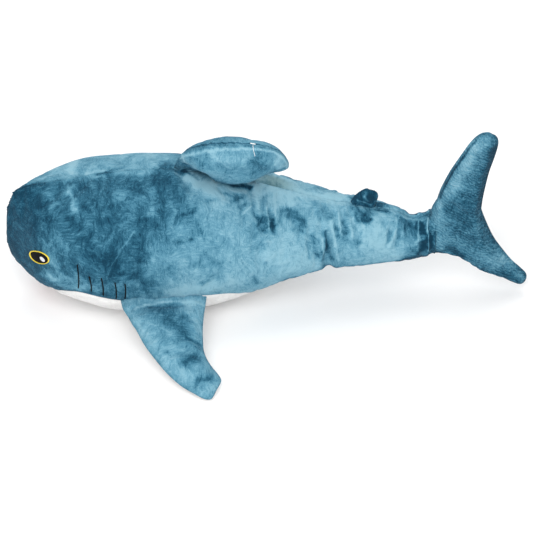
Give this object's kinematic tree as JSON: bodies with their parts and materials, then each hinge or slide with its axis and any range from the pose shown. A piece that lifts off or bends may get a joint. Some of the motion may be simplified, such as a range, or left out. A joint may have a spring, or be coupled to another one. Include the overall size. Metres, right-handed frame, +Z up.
{
  "type": "plush shark",
  "caption": "Stuffed toy shark of sewn velvet panels with a blunt snout, embroidered eyes, gill lines, a white belly and floppy fins; it rests on its belly.",
  "frame": {"origin": "middle of the bounding box's base, on the floor the toy lies on", "axes": "+X from the snout to the tail, +Y to the shark's right side, +Z up"},
  "size_m": [0.8, 0.5666, 0.328],
  "materials": {
    "blue_plush": "short brushed velvet pile",
    "white_plush": "short brushed velvet pile",
    "stuffing": "loose polyester fibre",
    "black_thread": "satin embroidery",
    "yellow_thread": "satin embroidery",
    "white_thread": "satin embroidery",
    "pink_lining": "smooth woven lining",
    "white_felt": "matt felt",
    "white_plastic": "moulded"
  },
  "bodies": {
    "torso": {"left_flank_panel": "blue_plush", "right_flank_panel": "blue_plush", "belly_panel": "white_plush", "front_stuffing": "stuffing", "left_eye_rim": "yellow_thread", "left_eye_pupil": "black_thread", "left_eye_glint": "white_thread", "right_eye_rim": "yellow_thread", "right_eye_pupil": "black_thread", "right_eye_glint": "white_thread", "left_gill_stitches": "black_thread", "right_gill_stitches": "black_thread", "mouth_lining": "pink_lining", "upper_teeth": "white_felt", "lower_teeth": "white_felt"},
    "rear_body": {"rear_stuffing": "stuffing"},
    "dorsal_fin": {"dorsal_fin_left_face": "blue_plush", "dorsal_fin_right_face": "blue_plush", "dorsal_fin_stuffing": "stuffing", "dorsal_fin_root_seam": "blue_plush", "tag_fastener": "white_plastic"},
    "rear_dorsal_fin": {"rear_fin_left_face": "blue_plush", "rear_fin_right_face": "blue_plush", "rear_fin_stuffing": "stuffing", "rear_fin_root_seam": "blue_plush"},
    "left_pectoral_fin": {"left_pectoral_upper_face": "blue_plush", "left_pectoral_lower_face": "white_plush", "left_pectoral_stuffing": "stuffing", "left_pectoral_root_seam": "blue_plush"},
    "right_pectoral_fin": {"right_pectoral_upper_face": "blue_plush", "right_pectoral_lower_face": "white_plush", "right_pectoral_stuffing": "stuffing", "right_pectoral_root_seam": "blue_plush"},
    "tail_fin": {"tail_left_face": "blue_plush", "tail_right_face": "blue_plush", "tail_stuffing": "stuffing"}
  },
  "joints": [
    {"name": "waist_sway", "type": "hinge", "parent": "torso", "child": "rear_body", "pos_m": [0.09508, 0, 0.119], "axis": [0, 0, 1], "range_deg": [-20, 20], "stiffness_Nm_per_rad": 1, "deforming": ["left_flank_panel", "right_flank_panel", "belly_panel"]},
    {"name": "tail_wag", "type": "hinge", "parent": "rear_body", "child": "tail_fin", "pos_m": [0.254, 0, 0.11], "axis": [0, 0, 1], "range_deg": [-35, 35], "stiffness_Nm_per_rad": 0.3},
    {"name": "dorsal_flop", "type": "hinge", "parent": "torso", "child": "dorsal_fin", "pos_m": [-0.136, 0, 0.24284], "axis": [0.9863, 0, -0.165], "range_deg": [-60, 8], "stiffness_Nm_per_rad": 0.15},
    {"name": "rear_dorsal_flop", "type": "hinge", "parent": "rear_body", "child": "rear_dorsal_fin", "pos_m": [0.14, 0, 0.17531], "axis": [0.9763, 0, -0.2164], "range_deg": [-40, 40], "stiffness_Nm_per_rad": 0.02},
    {"name": "left_pectoral_flap", "type": "hinge", "parent": "torso", "child": "left_pectoral_fin", "pos_m": [-0.218, -0.1185, 0.058], "axis": [-0.9976, -0.0698, 0], "range_deg": [0, 45], "stiffness_Nm_per_rad": 0.1},
    {"name": "right_pectoral_flap", "type": "hinge", "parent": "torso", "child": "right_pectoral_fin", "pos_m": [-0.218, 0.1185, 0.058], "axis": [0.9976, -0.0698, 0], "range_deg": [0, 45], "stiffness_Nm_per_rad": 0.1}
  ]
}
